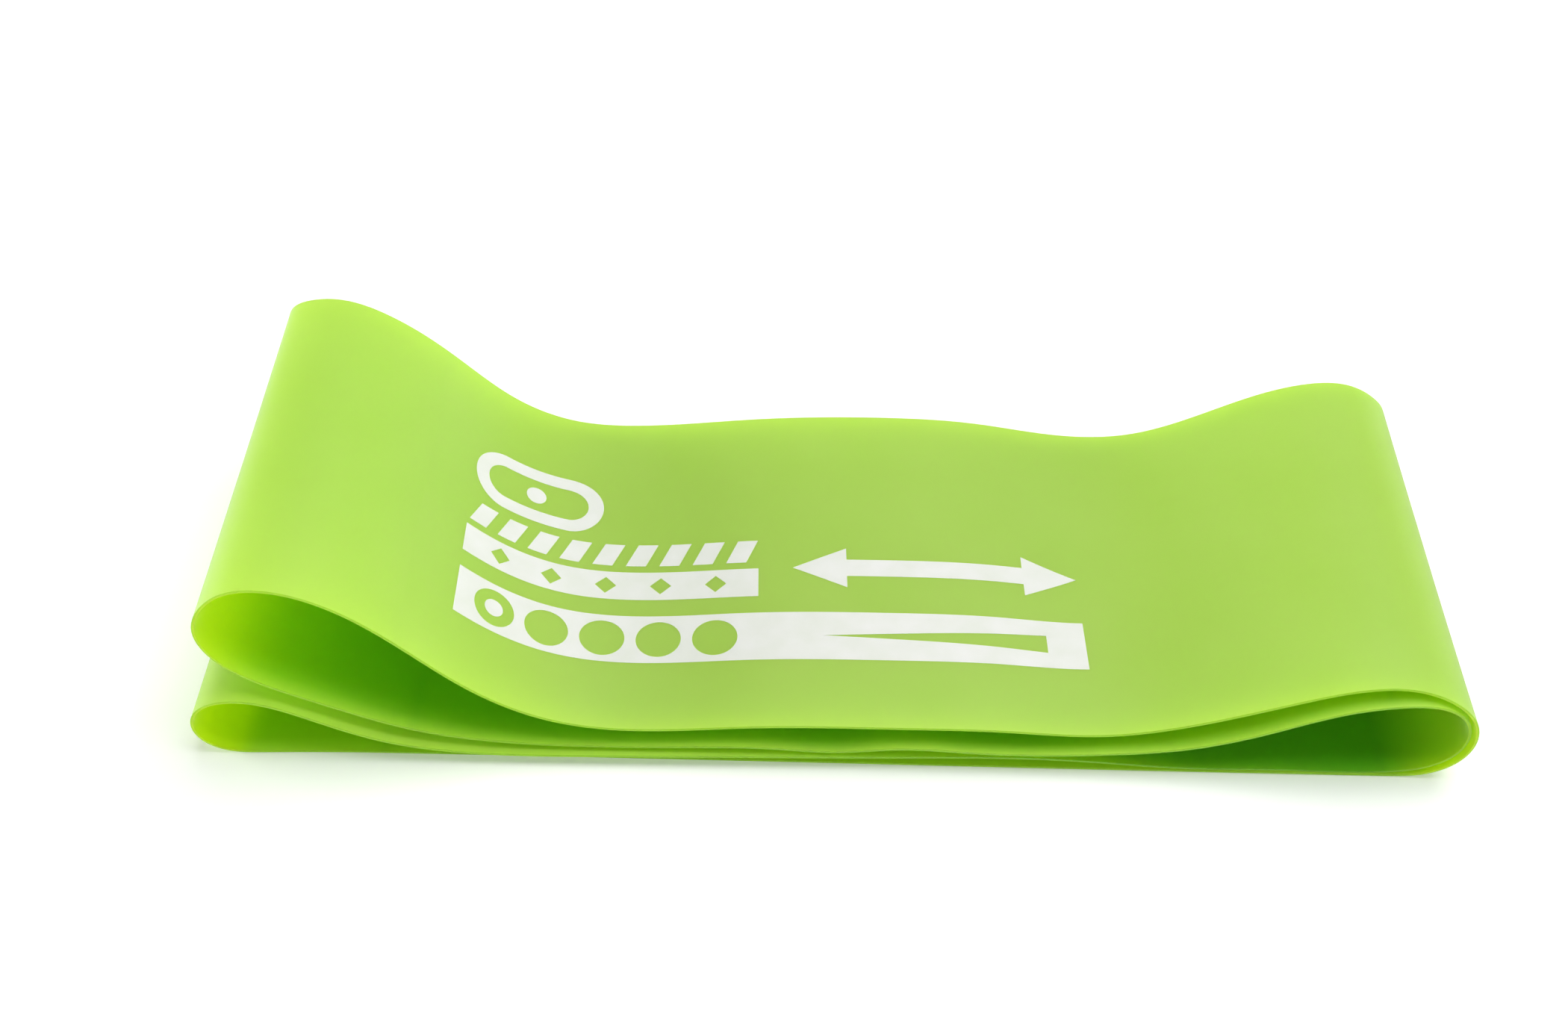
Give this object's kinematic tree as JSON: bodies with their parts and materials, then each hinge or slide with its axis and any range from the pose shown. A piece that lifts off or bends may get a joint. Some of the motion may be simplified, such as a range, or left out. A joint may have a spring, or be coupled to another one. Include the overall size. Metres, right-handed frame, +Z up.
{
  "type": "loop resistance band",
  "caption": "Flat elastic latex loop for leg and arm exercise, pressed flat and folded once in half, with a plain white level print on its top layer.",
  "frame": {"origin": "on the table under the middle of the folded band's box", "axes": "+X along the folded band towards its fold, +Y across its width, +Z up off the table"},
  "size_m": [0.1416, 0.05, 0.0272],
  "materials": {
    "latex_film": "matte, slightly translucent yellow-green latex",
    "white_ink": "matte white flexible screen ink"
  },
  "bodies": {
    "lower_half": {"bottom_run": "latex_film", "lower_inner_run": "latex_film"},
    "lower_end": {"lower_loop_end": "latex_film"},
    "fold": {"fold_outer": "latex_film", "fold_inner": "latex_film"},
    "upper_half": {"top_run": "latex_film", "upper_inner_run": "latex_film", "print_level_strip": "white_ink", "print_diamond_bar": "white_ink", "print_strokes": "white_ink", "print_loop_mark": "white_ink", "print_stretch_arrow": "white_ink"},
    "upper_end": {"upper_loop_end": "latex_film"}
  },
  "joints": [
    {"name": "unfold_lower", "type": "hinge", "parent": "lower_half", "child": "fold", "pos_m": [0.069, 0, 0.00174], "axis": [0, 1, 0], "range_deg": [0, 87], "deforming": ["fold_outer", "fold_inner"]},
    {"name": "unfold_upper", "type": "hinge", "parent": "fold", "child": "upper_half", "pos_m": [0.069, 0, 0.01314], "axis": [0, 1, 0], "range_deg": [0, 87]},
    {"name": "stretch_lower", "type": "slide", "parent": "lower_half", "child": "lower_end", "axis": [-1, 0, 0], "range_m": [0, 0.14], "stiffness_N_per_m": 180, "deforming": ["bottom_run", "lower_inner_run"]},
    {"name": "stretch_upper", "type": "slide", "parent": "upper_half", "child": "upper_end", "axis": [-1, 0, 0], "range_m": [0, 0.14], "stiffness_N_per_m": 180, "deforming": ["top_run", "upper_inner_run", "print_level_strip", "print_diamond_bar", "print_strokes", "print_loop_mark", "print_stretch_arrow"]}
  ],
  "couplings": [
    {"joint": "unfold_upper", "follows": "unfold_lower", "ratio": 1},
    {"joint": "stretch_upper", "follows": "stretch_lower", "ratio": 1}
  ]
}
